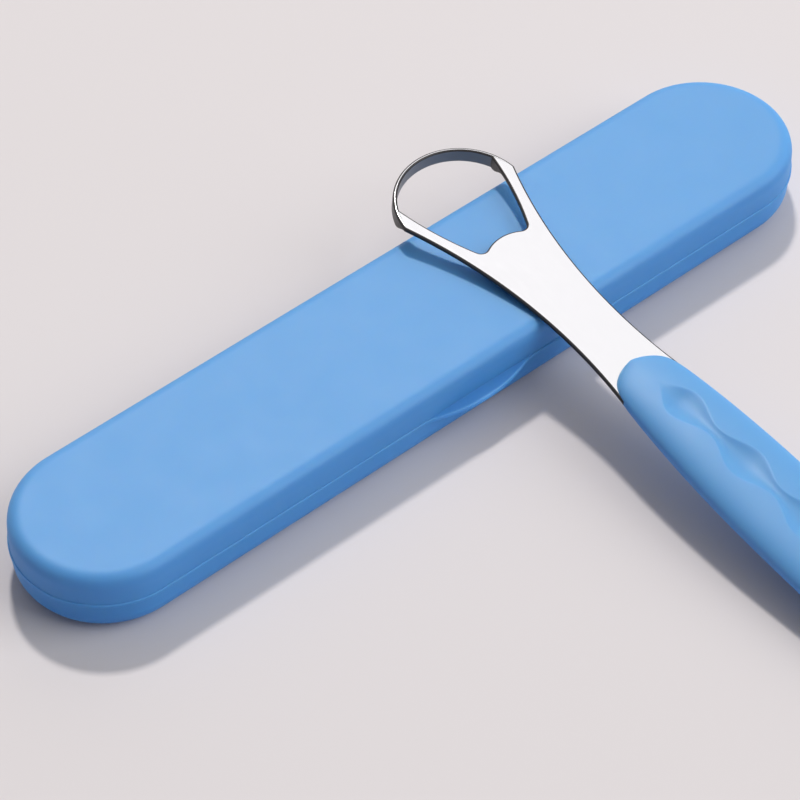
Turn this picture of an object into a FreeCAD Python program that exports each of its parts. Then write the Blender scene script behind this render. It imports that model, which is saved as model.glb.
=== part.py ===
import FreeCAD, Part
import math
import os

V = FreeCAD.Vector

# Travel case, in millimetres
CASE_LENGTH = 172.0
CASE_WIDTH = 32.6
CASE_HEIGHT = 13.9
PARTING_HEIGHT = 7.0
CASE_WALL = 1.8
CASE_FLOOR = 1.6
CASE_ROOF = 1.6
BASE_INSET = 0.4
BASE_EDGE_RADIUS = 4.4
LID_EDGE_RADIUS = 2.4
PARTING_GAP = 0.1

# Tongue on the base that the lid closes over
TONGUE_HEIGHT = 1.4
TONGUE_THICKNESS = 0.7
TONGUE_CLEARANCE = 0.2

# Rim bead and thumb lip on the lid
BEAD_REACH = 0.35
BEAD_HEIGHT = 0.8
LIP_LENGTH = 24.0
LIP_REACH = 3.0
LIP_THICKNESS = 1.3
LIP_ROUND = 0.5

# Low ribs that keep a wet scraper off the floor of the case
RIB_SPACING = 80.0
RIB_THICKNESS = 1.4
RIB_HEIGHT = 1.0

# Pinned hinge on the back wall
HINGE_SPACING = 84.0
HINGE_OUT = 1.6
HINGE_DROP = 1.2
KNUCKLE_RADIUS = 1.8
LID_KNUCKLE_LENGTH = 8.0
BASE_KNUCKLE_LENGTH = 4.5
KNUCKLE_SIDE_GAP = 0.25
KNUCKLE_CLEARANCE = 0.3
PIN_RADIUS = 0.75
PIN_SEAT_PLAY = 0.02
PIN_RUNNING_PLAY = 0.06

# Stamped blade: loop, fork, neck and tang
SHEET = 1.0
LOOP_RADIUS = 12.9
RIM_THICKNESS = 0.85
RIM_DEPTH = 3.0
RIM_RAMP = 3.5
ARM_REACH = 5.2
OPENING_BASE = 10.25
OPENING_BASE_WIDTH = 10.2
OPENING_BUMP_RADIUS = 8.0
OPENING_CORNER_RADIUS = 1.4
OPENING_SIDE_BULGE = 0.65
NECK_WIDTH = 11.64
NECK_SETBACK = 36.35
NECK_SIDE_RADIUS = 104.0
SHOULDER_COVER = 6.0
SHOULDER_RADIUS = 2.0
TANG_WIDTH = 9.0
TANG_LENGTH = 48.0
ANCHOR_RADIUS = 2.0
ANCHOR_PITCH = 15.0
ANCHOR_COUNT = 3

# Moulded handle
HANDLE_SETBACK = 45.45
HANDLE_LENGTH = 90.0
HANDLE_WIDTH = 18.4
HANDLE_DEPTH = 6.4
BELLY_SETBACK = 41.4
FRONT_SIDE_RADIUS = 282.0
REAR_SIDE_RADIUS = 760.0
NOSE_RADIUS = 6.6
NOSE_DEPTH = 1.8
NOSE_RISE = 30.0
TAIL_RADIUS = 8.0
CORNER_SHARPNESS = 12
TIP_CUT = 0.15
STATION_COUNT = 24

# Chain of thumb scoops along the top of the handle
SCOOP_COUNT = 5
SCOOP_PITCH = 15.85
SCOOP_SETBACK = 13.5
SCOOP_WIDTH = 6.8
SCOOP_DEPTH = 1.0
SCOOP_SADDLE = 0.04

# How the scraper leans on the closed case
REST_SETBACK = 27.2
REST_CLEARANCE = 0.25
SCRAPER_X = 21.2
SCRAPER_HEADING = 1.17

# Working allowances
OVERCUT = 1.0
WELD = 0.5
LEAST_ROUND = 0.3
NEAR = 0.001

# Places that several pieces share
LID_LOW = PARTING_HEIGHT + PARTING_GAP
BACK_WALL = CASE_WIDTH / 2
FRONT_WALL = -CASE_WIDTH / 2
HINGE_Y = BACK_WALL + HINGE_OUT
HINGE_Z = PARTING_HEIGHT - HINGE_DROP
LID_ROUND = min(LID_EDGE_RADIUS, CASE_HEIGHT - LID_LOW - BEAD_HEIGHT - LEAST_ROUND)
BASE_ROUND = min(BASE_EDGE_RADIUS, PARTING_HEIGHT - LEAST_ROUND)
STEEL_MIDDLE = -SHEET / 2
NECK_CENTRE_X = NECK_WIDTH / 2 + NECK_SIDE_RADIUS
SHOULDER_Y = -HANDLE_SETBACK - SHOULDER_COVER


def bar_with_round_ends(inset, low, high):
    """The case's outline, drawn in by inset and standing from low to high."""
    radius = CASE_WIDTH / 2 - inset
    reach = (CASE_LENGTH - CASE_WIDTH) / 2
    front_left = V(-reach, -radius, low)
    front_right = V(reach, -radius, low)
    back_right = V(reach, radius, low)
    back_left = V(-reach, radius, low)
    outline = Part.Wire([
        Part.LineSegment(front_left, front_right).toShape(),
        Part.Arc(front_right, V(reach + radius, 0, low), back_right).toShape(),
        Part.LineSegment(back_right, back_left).toShape(),
        Part.Arc(back_left, V(-reach - radius, 0, low), front_left).toShape(),
    ])
    return Part.Face(outline).extrude(V(0, 0, high - low))


def round_rims(solid, height, radius):
    """Rounds every edge that lies flat at the given height."""
    rims = []
    for edge in solid.Edges:
        box = edge.BoundBox
        if abs(box.ZMin - height) < NEAR and abs(box.ZMax - height) < NEAR:
            rims.append(edge)
    return solid.makeFillet(radius, rims)


def across_case(points, start, length):
    """A prism along X whose section is a list of (y, z) points."""
    corners = [V(start, y, z) for y, z in points]
    outline = Part.makePolygon(corners + corners[:1])
    return Part.Face(outline).extrude(V(length, 0, 0))


def hinge_rod(radius, start, length):
    """A round bar on the hinge's axis."""
    return Part.makeCylinder(radius, length, V(start, HINGE_Y, HINGE_Z), V(1, 0, 0))


def hinge_stations():
    return (-HINGE_SPACING / 2, HINGE_SPACING / 2)


def base_knuckle_starts(station):
    """Where the base's two knuckles begin, either side of the lid's."""
    step = LID_KNUCKLE_LENGTH / 2 + KNUCKLE_SIDE_GAP
    return (station - step - BASE_KNUCKLE_LENGTH, station + step)


def hinge_bore(station, play):
    length = LID_KNUCKLE_LENGTH + 2 * (KNUCKLE_SIDE_GAP + BASE_KNUCKLE_LENGTH + OVERCUT)
    return hinge_rod(PIN_RADIUS + play, station - length / 2, length)


def case_base():
    """Lower shell: tray, tongue, floor ribs and the outer hinge knuckles."""
    tray = round_rims(bar_with_round_ends(BASE_INSET, 0, PARTING_HEIGHT), 0, BASE_ROUND)
    tongue_top = PARTING_HEIGHT + TONGUE_HEIGHT
    tongue = bar_with_round_ends(CASE_WALL - TONGUE_THICKNESS, PARTING_HEIGHT - WELD, tongue_top)
    hollow = bar_with_round_ends(CASE_WALL, CASE_FLOOR, tongue_top + OVERCUT)
    hollow = round_rims(hollow, CASE_FLOOR, max(BASE_ROUND - CASE_WALL, LEAST_ROUND))
    base = tray.fuse(tongue).cut(hollow)

    rib_width = CASE_WIDTH - 2 * CASE_WALL + WELD
    for middle in (-RIB_SPACING / 2, RIB_SPACING / 2):
        corner = V(middle - RIB_THICKNESS / 2, -rib_width / 2, CASE_FLOOR - WELD)
        rib = Part.makeBox(RIB_THICKNESS, rib_width, RIB_HEIGHT + WELD, corner)
        base = base.fuse(rib.common(tray))

    wall_face = BACK_WALL - BASE_INSET
    bracket = [
        (wall_face - WELD, HINGE_Z - KNUCKLE_RADIUS),
        (HINGE_Y, HINGE_Z - KNUCKLE_RADIUS),
        (HINGE_Y, HINGE_Z),
        (wall_face - WELD, HINGE_Z),
    ]
    for station in hinge_stations():
        relief = hinge_rod(
            KNUCKLE_RADIUS + KNUCKLE_CLEARANCE,
            station - LID_KNUCKLE_LENGTH / 2 - KNUCKLE_SIDE_GAP,
            LID_KNUCKLE_LENGTH + 2 * KNUCKLE_SIDE_GAP,
        )
        base = base.cut(relief)
        for start in base_knuckle_starts(station):
            knuckle = hinge_rod(KNUCKLE_RADIUS, start, BASE_KNUCKLE_LENGTH)
            arm = across_case(bracket, start, BASE_KNUCKLE_LENGTH)
            base = base.fuse(knuckle.fuse(arm))
        base = base.cut(hinge_bore(station, PIN_SEAT_PLAY))
    return base.removeSplitter()


def thumb_lip():
    """Crescent that stands out of the lid's front rim."""
    half = LIP_LENGTH / 2
    left = V(-half, FRONT_WALL + WELD, LID_LOW)
    right = V(half, FRONT_WALL + WELD, LID_LOW)
    tip = V(0, FRONT_WALL - LIP_REACH, LID_LOW)
    outline = Part.Wire([
        Part.Arc(left, tip, right).toShape(),
        Part.LineSegment(right, left).toShape(),
    ])
    lip = Part.Face(outline).extrude(V(0, 0, LIP_THICKNESS))
    return round_rims(lip, LID_LOW + LIP_THICKNESS, min(LIP_ROUND, LIP_THICKNESS - LEAST_ROUND))


def case_lid():
    """Upper shell: roof, rim bead, thumb lip and the middle hinge knuckles."""
    shell = round_rims(bar_with_round_ends(0, LID_LOW, CASE_HEIGHT), CASE_HEIGHT, LID_ROUND)
    bead = bar_with_round_ends(-BEAD_REACH, LID_LOW, LID_LOW + BEAD_HEIGHT)
    bead_round = min(LEAST_ROUND, BEAD_REACH, BEAD_HEIGHT / 2 - NEAR)
    bead = round_rims(bead, LID_LOW + BEAD_HEIGHT, bead_round)
    lid = shell.fuse(bead).fuse(thumb_lip())

    hollow = bar_with_round_ends(CASE_WALL, LID_LOW - OVERCUT, CASE_HEIGHT - CASE_ROOF)
    hollow = round_rims(hollow, CASE_HEIGHT - CASE_ROOF, max(LID_ROUND - CASE_WALL, LEAST_ROUND))
    rebate_inset = CASE_WALL - TONGUE_THICKNESS - TONGUE_CLEARANCE
    rebate_top = PARTING_HEIGHT + TONGUE_HEIGHT + TONGUE_CLEARANCE
    rebate = bar_with_round_ends(rebate_inset, LID_LOW - OVERCUT, rebate_top)
    lid = lid.cut(hollow).cut(rebate)

    bracket = [
        (BACK_WALL - rebate_inset / 2, LID_LOW),
        (BACK_WALL, LID_LOW),
        (BACK_WALL, HINGE_Z),
        (HINGE_Y, HINGE_Z),
        (HINGE_Y, HINGE_Z + KNUCKLE_RADIUS),
        (BACK_WALL - rebate_inset / 2, HINGE_Z + 2 * KNUCKLE_RADIUS),
    ]
    for station in hinge_stations():
        for start in base_knuckle_starts(station):
            relief = hinge_rod(
                KNUCKLE_RADIUS + KNUCKLE_CLEARANCE,
                start - KNUCKLE_SIDE_GAP,
                BASE_KNUCKLE_LENGTH + 2 * KNUCKLE_SIDE_GAP,
            )
            lid = lid.cut(relief)
        start = station - LID_KNUCKLE_LENGTH / 2
        knuckle = hinge_rod(KNUCKLE_RADIUS, start, LID_KNUCKLE_LENGTH)
        arm = across_case(bracket, start, LID_KNUCKLE_LENGTH)
        lid = lid.fuse(knuckle.fuse(arm))
        lid = lid.cut(hinge_bore(station, PIN_RUNNING_PLAY))
    return lid.removeSplitter()


def hinge_pin(station):
    """Steel pin, as long as its three knuckles."""
    length = LID_KNUCKLE_LENGTH + 2 * (KNUCKLE_SIDE_GAP + BASE_KNUCKLE_LENGTH)
    return hinge_rod(PIN_RADIUS, station - length / 2, length)


def neck_half_width(y):
    """Half the width of the blade where its sides sweep in to the neck."""
    return NECK_CENTRE_X - math.sqrt(NECK_SIDE_RADIUS ** 2 - (y + NECK_SETBACK) ** 2)


def loop_corner():
    """Where the swept sides meet the loop's circle, about the loop's centre."""
    distance = math.hypot(NECK_CENTRE_X, NECK_SETBACK)
    along = (LOOP_RADIUS ** 2 - NECK_SIDE_RADIUS ** 2 + distance ** 2) / (2 * distance)
    aside = math.sqrt(LOOP_RADIUS ** 2 - along ** 2)
    right = NECK_CENTRE_X / distance
    back = NECK_SETBACK / distance
    return along * right + aside * back, aside * right - along * back


def blade_plate():
    """Flat stamping with its top face at z = 0 and the loop's centre at the origin."""
    corner_x, corner_y = loop_corner()
    shoulder_x = neck_half_width(SHOULDER_Y)
    tang_x = TANG_WIDTH / 2
    tang_end = SHOULDER_Y - TANG_LENGTH
    edges = [Part.Arc(V(-corner_x, corner_y), V(0, LOOP_RADIUS), V(corner_x, corner_y))]
    for side in (1, -1):
        edges += [
            Part.Arc(
                V(side * corner_x, corner_y),
                V(side * NECK_WIDTH / 2, -NECK_SETBACK),
                V(side * shoulder_x, SHOULDER_Y),
            ),
            Part.LineSegment(V(side * shoulder_x, SHOULDER_Y), V(side * tang_x, SHOULDER_Y)),
            Part.LineSegment(V(side * tang_x, SHOULDER_Y), V(side * tang_x, tang_end + tang_x)),
        ]
    edges.append(Part.Arc(V(tang_x, tang_end + tang_x), V(0, tang_end), V(-tang_x, tang_end + tang_x)))
    outline = Part.Wire(Part.__sortEdges__([edge.toShape() for edge in edges]))
    plate = Part.Face(outline).extrude(V(0, 0, -SHEET))
    plate = round_uprights(plate, [(shoulder_x, SHOULDER_Y), (-shoulder_x, SHOULDER_Y)], SHOULDER_RADIUS)
    for place in range(ANCHOR_COUNT):
        y = SHOULDER_Y - ANCHOR_PITCH * (place + 0.5)
        hole = Part.makeCylinder(ANCHOR_RADIUS, SHEET + 2 * OVERCUT, V(0, y, -SHEET - OVERCUT))
        plate = plate.cut(hole)
    return plate


def round_uprights(solid, places, radius):
    """Rounds the upright edges that stand at the given (x, y) places."""
    uprights = []
    for edge in solid.Edges:
        first = edge.Vertexes[0].Point
        last = edge.Vertexes[-1].Point
        if math.hypot(first.x - last.x, first.y - last.y) > NEAR:
            continue
        if any(math.hypot(first.x - x, first.y - y) < NEAR for x, y in places):
            uprights.append(edge)
    return solid.makeFillet(radius, uprights)


def loop_opening():
    """Teardrop hole inside the loop and between the two arms of the fork."""
    inner = LOOP_RADIUS - RIM_THICKNESS
    arm_x = math.sqrt(inner ** 2 - ARM_REACH ** 2)
    base_x = OPENING_BASE_WIDTH / 2
    fall = OPENING_BUMP_RADIUS - math.sqrt(OPENING_BUMP_RADIUS ** 2 - base_x ** 2)
    base_y = -OPENING_BASE - fall
    chord = math.hypot(arm_x - base_x, ARM_REACH - base_y)
    bulge_x = OPENING_SIDE_BULGE * (ARM_REACH - base_y) / chord
    bulge_y = -OPENING_SIDE_BULGE * (arm_x - base_x) / chord
    side_x = (arm_x + base_x) / 2 + bulge_x
    side_y = (ARM_REACH + base_y) / 2 + bulge_y
    outline = Part.Wire([
        Part.Arc(V(-base_x, base_y), V(0, -OPENING_BASE), V(base_x, base_y)).toShape(),
        Part.Arc(V(base_x, base_y), V(side_x, side_y), V(arm_x, ARM_REACH)).toShape(),
        Part.Arc(V(arm_x, ARM_REACH), V(0, inner), V(-arm_x, ARM_REACH)).toShape(),
        Part.Arc(V(-arm_x, ARM_REACH), V(-side_x, side_y), V(-base_x, base_y)).toShape(),
    ])
    outline.translate(V(0, 0, -SHEET - OVERCUT))
    hole = Part.Face(outline).extrude(V(0, 0, SHEET + 2 * OVERCUT))
    return round_uprights(hole, [(base_x, base_y), (-base_x, base_y)], OPENING_CORNER_RADIUS)


def scraping_rim():
    """Front of the loop, turned down on edge and ramped up into the two arms."""
    low = V(0, 0, -RIM_DEPTH)
    ring = Part.makeCylinder(LOOP_RADIUS, RIM_DEPTH, low)
    ring = ring.cut(Part.makeCylinder(LOOP_RADIUS - RIM_THICKNESS, RIM_DEPTH, low))
    ramp_start = loop_corner()[1]
    front = LOOP_RADIUS + OVERCUT
    ramp = [
        (ramp_start, 0),
        (ramp_start, -SHEET),
        (ramp_start + RIM_RAMP, -RIM_DEPTH),
        (front, -RIM_DEPTH),
        (front, 0),
    ]
    return ring.common(across_case(ramp, -front, 2 * front))


def flat_blade():
    """The whole blade before it is leaned on the case."""
    return blade_plate().cut(loop_opening()).fuse(scraping_rim()).removeSplitter()


def round_end(radius, distance):
    """Half the width of a round end at a distance from its tip, never past its full width."""
    return math.sqrt(radius ** 2 - (radius - min(distance, radius)) ** 2)


def handle_half_width(setback):
    """Half the handle's width at a distance behind the tip of its nose."""
    side_radius = FRONT_SIDE_RADIUS if setback < BELLY_SETBACK else REAR_SIDE_RADIUS
    width = HANDLE_WIDTH / 2 - (setback - BELLY_SETBACK) ** 2 / (2 * side_radius)
    ends = ((NOSE_RADIUS, setback), (TAIL_RADIUS, HANDLE_LENGTH - setback))
    for tip_radius, distance in ends:
        end = math.sqrt(2 * tip_radius * distance)
        width = (width ** -CORNER_SHARPNESS + end ** -CORNER_SHARPNESS) ** (-1 / CORNER_SHARPNESS)
    return width


def handle_half_depth(setback):
    """Half the handle's thickness at a distance behind the tip of its nose."""
    full = HANDLE_DEPTH / 2
    nose = NOSE_DEPTH / 2
    rising = nose + (full - nose) * round_end(NOSE_RISE, setback) / NOSE_RISE
    return min(rising, round_end(full, HANDLE_LENGTH - setback))


def handle_stations():
    """Distances behind the nose at which the handle's section is drawn, closer at its round ends."""
    turns = [math.pi * place / STATION_COUNT for place in range(1, STATION_COUNT)]
    inner = [HANDLE_LENGTH * (1 - math.cos(turn)) / 2 for turn in turns]
    return [TIP_CUT] + inner + [HANDLE_LENGTH - TIP_CUT]


def thumb_scoop(place):
    """Cutter for one oval scoop: a ring whose lowest part dips into the handle's top."""
    setback = SCOOP_SETBACK + SCOOP_PITCH * place
    half = SCOOP_WIDTH / 2
    depth = handle_half_depth(setback)
    crown = half ** 2 * depth / (2 * handle_half_width(setback) ** 2)
    across = half ** 2 / (2 * (SCOOP_DEPTH - crown))
    along = (SCOOP_PITCH / 2) ** 2 / (2 * (SCOOP_DEPTH - SCOOP_SADDLE))
    height = STEEL_MIDDLE + depth - SCOOP_DEPTH + along
    centre = V(0, -HANDLE_SETBACK - setback, height)
    return Part.makeTorus(along - across, across, centre, V(1, 0, 0))


def flat_handle(blade):
    """Handle moulded round the tang and through its anchor holes."""
    sections = []
    for setback in handle_stations():
        centre = V(0, -HANDLE_SETBACK - setback, STEEL_MIDDLE)
        wide = centre + V(handle_half_width(setback), 0, 0)
        tall = centre + V(0, 0, handle_half_depth(setback))
        sections.append(Part.Wire([Part.Ellipse(wide, tall, centre).toShape()]))
    handle = Part.makeLoft(sections, True, False)
    for place in range(SCOOP_COUNT):
        handle = handle.cut(thumb_scoop(place))
    return handle.cut(blade)


def lean_on_case(shape):
    """Lays the neck on the lid's front edge and the handle's tail on the table."""
    edge_y = FRONT_WALL + LID_ROUND
    edge_z = CASE_HEIGHT - LID_ROUND
    tail_radius = HANDLE_DEPTH / 2
    stand_off = SHEET + LID_ROUND + REST_CLEARANCE
    rise = stand_off + STEEL_MIDDLE
    run = HANDLE_SETBACK + HANDLE_LENGTH - tail_radius - REST_SETBACK
    slope = math.acos((tail_radius - edge_z) / math.hypot(rise, run)) - math.atan2(run, rise)
    leaned = shape.copy()
    leaned.translate(V(0, REST_SETBACK, 0))
    leaned.rotate(V(0, 0, 0), V(1, 0, 0), math.degrees(slope))
    leaned.rotate(V(0, 0, 0), V(0, 0, 1), -SCRAPER_HEADING)
    rest_y = edge_y - stand_off * math.sin(slope)
    rest_z = edge_z + stand_off * math.cos(slope)
    leaned.translate(V(SCRAPER_X, rest_y, rest_z))
    return leaned


def build():
    blade = flat_blade()
    left, right = hinge_stations()
    return {
        "case_base": case_base(),
        "case_lid": case_lid(),
        "hinge_pin_left": hinge_pin(left),
        "hinge_pin_right": hinge_pin(right),
        "scraper_blade": lean_on_case(blade),
        "scraper_handle": lean_on_case(flat_handle(blade)),
    }


os.makedirs("parts", exist_ok=True)
for node, shape in build().items():
    shape.exportStep("parts/" + node + ".step")
    box = shape.BoundBox
    print(
        node, shape.isValid(), len(shape.Solids), "solid, volume", round(shape.Volume, 1),
        "x", round(box.XMin, 2), round(box.XMax, 2),
        "y", round(box.YMin, 2), round(box.YMax, 2),
        "z", round(box.ZMin, 2), round(box.ZMax, 2),
    )
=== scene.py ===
import math

import bmesh
import bpy
from mathutils import Matrix, Vector


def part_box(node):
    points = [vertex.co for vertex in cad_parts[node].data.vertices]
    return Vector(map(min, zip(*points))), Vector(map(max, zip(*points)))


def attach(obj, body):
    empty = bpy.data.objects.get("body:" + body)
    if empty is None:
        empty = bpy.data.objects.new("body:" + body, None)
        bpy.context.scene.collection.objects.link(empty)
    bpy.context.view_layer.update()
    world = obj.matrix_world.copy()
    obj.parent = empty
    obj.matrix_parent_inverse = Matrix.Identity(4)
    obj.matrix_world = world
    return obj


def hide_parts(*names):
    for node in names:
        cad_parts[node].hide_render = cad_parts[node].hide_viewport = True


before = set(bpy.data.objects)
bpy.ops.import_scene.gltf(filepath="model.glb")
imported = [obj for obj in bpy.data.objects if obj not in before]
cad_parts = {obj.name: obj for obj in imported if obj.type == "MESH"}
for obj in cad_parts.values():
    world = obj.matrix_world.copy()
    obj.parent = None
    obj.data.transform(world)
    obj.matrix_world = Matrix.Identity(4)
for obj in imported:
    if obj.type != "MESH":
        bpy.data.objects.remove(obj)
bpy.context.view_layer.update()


# Lower half of the travel case: a thin tray moulded in satin blue polypropylene. A tongue stands round its
# rim for the lid to close over, two low ribs keep a wet scraper off its floor, and the outer knuckles of
# the hinge are moulded on its back wall.
MM = 0.001
base_low, base_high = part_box("case_base")
BASE_INSET = 0.4 * MM
CASE_WALL = 1.8 * MM
CASE_FLOOR = 1.6 * MM
PARTING_HEIGHT = 7.0 * MM
BASE_ROUND = 4.4 * MM
TRAY_INSET = 0.15 * MM
RIM_ROUND = 0.12 * MM
TONGUE_INSET = 1.1 * MM
TONGUE_ROUND = 0.2 * MM
outline_half = BASE_INSET - base_low.y
outline_reach = base_high.x + base_low.y
END_STEPS = 40
SIDE_STEPS = 120
ROUND_STEPS = 10
EDGE_STEPS = 3


def outline_stations():
    """Places round the case: the x that its round wall is drawn about, and the way the wall faces there."""
    stations = []
    for side in (1, -1):
        facing = -side * math.pi / 2
        for step in range(END_STEPS):
            stations.append((side * outline_reach, facing + math.pi * step / END_STEPS))
        for step in range(SIDE_STEPS):
            stations.append((side * outline_reach * (1 - 2 * step / SIDE_STEPS), facing + math.pi))
    return stations


def arc(inset, height, radius, start, end, steps):
    """Points of a round corner in the wall's section, about a centre, between two angles in degrees."""
    points = []
    for step in range(steps + 1):
        angle = math.radians(start + (end - start) * step / steps)
        points.append((inset + radius * math.cos(angle), height + radius * math.sin(angle)))
    return points


def new_piece(name, bm):
    """An object of that name whose mesh is the finished bmesh."""
    mesh = bpy.data.meshes.new(name)
    bm.to_mesh(mesh)
    bm.free()
    piece = bpy.data.objects.new(name, mesh)
    bpy.context.scene.collection.objects.link(piece)
    return piece


def swept_shell(name, section):
    """Closed shell whose wall section, from outside to inside, is swept round the case's outline."""
    bm = bmesh.new()
    columns = []
    for x, facing in outline_stations():
        column = []
        for inset, height in section(x, facing):
            radius = outline_half - inset
            place = (x + radius * math.cos(facing), radius * math.sin(facing), height)
            column.append(bm.verts.new(place))
        columns.append(column)
    for this, following in zip(columns, columns[1:] + columns[:1]):
        for row in range(len(this) - 1):
            bm.faces.new((this[row], following[row], following[row + 1], this[row + 1]))
    bm.faces.new([column[0] for column in columns])
    bm.faces.new([column[-1] for column in columns])
    bmesh.ops.recalc_face_normals(bm, faces=bm.faces)
    return new_piece(name, bm)


def base_section(x, facing):
    """Wall of the tray: outside from the foot up to the rim, over the tongue, and down to the floor."""
    tongue_top = base_high.z - TONGUE_ROUND
    bowl = BASE_ROUND - CASE_WALL
    return (
        arc(TRAY_INSET + BASE_ROUND, BASE_ROUND, BASE_ROUND, -90, -180, ROUND_STEPS)
        + arc(TRAY_INSET + RIM_ROUND, PARTING_HEIGHT - RIM_ROUND, RIM_ROUND, 180, 90, EDGE_STEPS)
        + [(TONGUE_INSET, PARTING_HEIGHT)]
        + arc(TONGUE_INSET + TONGUE_ROUND, tongue_top, TONGUE_ROUND, 180, 90, EDGE_STEPS)
        + arc(CASE_WALL - TONGUE_ROUND, tongue_top, TONGUE_ROUND, 90, 0, EDGE_STEPS)
        + arc(CASE_WALL + bowl, CASE_FLOOR + bowl, bowl, 180, 270, ROUND_STEPS)
    )


def prism(name, outline, spans, soft_edge):
    """Bars along X, one for each (start, length), whose section is a list of (y, z) points."""
    bm = bmesh.new()
    for start, length in spans:
        near = [bm.verts.new((start, y, z)) for y, z in outline]
        far = [bm.verts.new((start + length, y, z)) for y, z in outline]
        bm.faces.new(near)
        bm.faces.new(far)
        for place in range(len(outline)):
            bm.faces.new((near[place - 1], near[place], far[place], far[place - 1]))
    bmesh.ops.recalc_face_normals(bm, faces=bm.faces)
    if soft_edge:
        rims = [edge for edge in bm.edges if abs(edge.verts[0].co.x - edge.verts[1].co.x) < soft_edge]
        bmesh.ops.bevel(bm, geom=rims, offset=soft_edge, segments=2, profile=0.5, affect="EDGES")
    return new_piece(name, bm)


def add_node(tree, kind, inputs=None, **settings):
    """Adds a node, with its settings, and links or sets its inputs by name or number."""
    node = tree.nodes.new(kind)
    for key, value in settings.items():
        setattr(node, key, value)
    for key, value in (inputs or {}).items():
        if isinstance(value, bpy.types.NodeSocket):
            tree.links.new(value, node.inputs[key])
        else:
            node.inputs[key].default_value = value
    return node


def tree_input(tree, name, kind):
    """Adds a named input to a tree."""
    return tree.interface.new_socket(name=name, in_out="INPUT", socket_type=kind)


def moulded_pair(name, operation):
    """Tree that repeats a tool at two stations along the case and joins it to a moulding, or cuts it out."""
    tree = bpy.data.node_groups.new(name, "GeometryNodeTree")
    tree_input(tree, "Moulding", "NodeSocketGeometry")
    tree_input(tree, "Tool", "NodeSocketObject")
    tree_input(tree, "Spacing", "NodeSocketFloat")
    tree_input(tree, "Plastic", "NodeSocketMaterial")
    tree.interface.new_socket(name="Moulding", in_out="OUTPUT", socket_type="NodeSocketGeometry")
    given = add_node(tree, "NodeGroupInput").outputs
    spacing = given["Spacing"]
    half = add_node(tree, "ShaderNodeMath", {0: spacing, 1: -0.5}, operation="MULTIPLY")
    first = add_node(tree, "ShaderNodeCombineXYZ", {"X": half.outputs[0]})
    step = add_node(tree, "ShaderNodeCombineXYZ", {"X": spacing})
    stations = add_node(
        tree, "GeometryNodeMeshLine",
        {"Count": 2, "Start Location": first.outputs[0], "Offset": step.outputs[0]},
    )
    tool = add_node(tree, "GeometryNodeObjectInfo", {"Object": given["Tool"]})
    copies = add_node(
        tree, "GeometryNodeInstanceOnPoints",
        {"Points": stations.outputs["Mesh"], "Instance": tool.outputs["Geometry"]},
    )
    tools = add_node(tree, "GeometryNodeRealizeInstances", {"Geometry": copies.outputs["Instances"]})
    joined = add_node(tree, "GeometryNodeMeshBoolean", operation=operation, solver="EXACT")
    moulding = joined.inputs["Mesh 1"] if operation == "DIFFERENCE" else joined.inputs["Mesh 2"]
    tree.links.new(given["Moulding"], moulding)
    tree.links.new(tools.outputs["Geometry"], joined.inputs["Mesh 2"])
    coated = add_node(
        tree, "GeometryNodeSetMaterial",
        {"Geometry": joined.outputs["Mesh"], "Material": given["Plastic"]},
    )
    add_node(tree, "NodeGroupOutput", {"Moulding": coated.outputs["Geometry"]})
    return tree


def set_input(modifier, name, value):
    """Sets a modifier's input by the identifier of the socket that has that name."""
    for item in modifier.node_group.interface.items_tree:
        if item.in_out == "INPUT" and item.name == name:
            modifier[item.identifier] = value


def settle(piece):
    """Turns a piece and its modifiers into one plain mesh."""
    graph = bpy.context.evaluated_depsgraph_get()
    mesh = bpy.data.meshes.new_from_object(piece.evaluated_get(graph))
    piece.modifiers.clear()
    piece.data = mesh


SHARP_ANGLE = math.radians(34)


def smooth(piece):
    """Smooth shading that keeps the true edges sharp and the flat faces flat."""
    piece.data.shade_smooth()
    piece.data.set_sharp_from_angle(angle=SHARP_ANGLE)
    piece.modifiers.new("flat faces", "WEIGHTED_NORMAL").keep_sharp = True
    settle(piece)


def mould(piece, plastic, steps):
    """Works each (tree, tool, spacing) into a moulding in turn, and clears the tools away."""
    for tree, tool, spacing in steps:
        modifier = piece.modifiers.new(tree.name, "NODES")
        modifier.node_group = tree
        set_input(modifier, "Tool", tool)
        set_input(modifier, "Spacing", spacing)
        set_input(modifier, "Plastic", plastic)
    settle(piece)
    for tool in {step[1].name for step in steps}:
        bpy.data.objects.remove(bpy.data.objects[tool])
    smooth(piece)


FLOW_SCALE = 28
RUB_SCALE = 160
RUB_START = 0.3
RUB_END = 0.75
GRAIN_SCALE = 3200
GRAIN_STRENGTH = 0.25
GRAIN_RELIEF = 0.02 * MM
POLISH_GAIN = 0.02
POLISH_LOSS = 0.03
PLASTIC_IOR = 1.49
PLASTIC_SHEEN = 0.65
TRANSLUCENCY = 0.7
COLOUR_REACH = (0.3, 0.7, 1.0)
LIGHT_REACH = 2.6 * MM


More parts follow.
